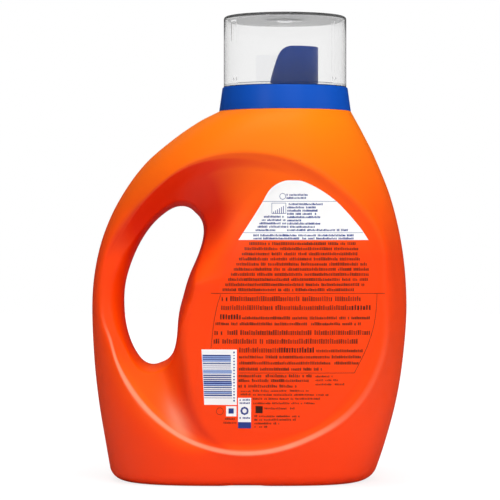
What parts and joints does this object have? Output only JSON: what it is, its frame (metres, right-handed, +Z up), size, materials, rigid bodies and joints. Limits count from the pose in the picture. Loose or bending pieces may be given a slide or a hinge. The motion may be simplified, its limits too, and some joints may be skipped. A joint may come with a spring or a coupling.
{
  "type": "laundry detergent bottle",
  "caption": "Blown plastic detergent bottle with a moulded-in grip, a snapped-in pouring collar and a clear screw cap that measures the dose",
  "frame": {"origin": "middle of the bounding box across and front to back, on the surface that the bottle stands on", "axes": "+Z up, +X from the grip towards the body, the pictured side faces -Y"},
  "size_m": [0.1884, 0.1152, 0.2768],
  "materials": {
    "bottle_shell": "semi-gloss blown polyethylene",
    "collar_plastic": "smooth moulded polypropylene",
    "clear_cap": "clear moulded polypropylene",
    "label_film": "printed film"
  },
  "bodies": {
    "container": {"bottle": "bottle_shell", "pour_collar": "collar_plastic", "back_label": "label_film"},
    "cap": {"measuring_cap": "clear_cap"}
  },
  "joints": [
    {"name": "cap_lift", "type": "slide", "parent": "container", "child": "cap", "axis": [0, 0, 1], "range_m": [0, 0.05]}
  ]
}
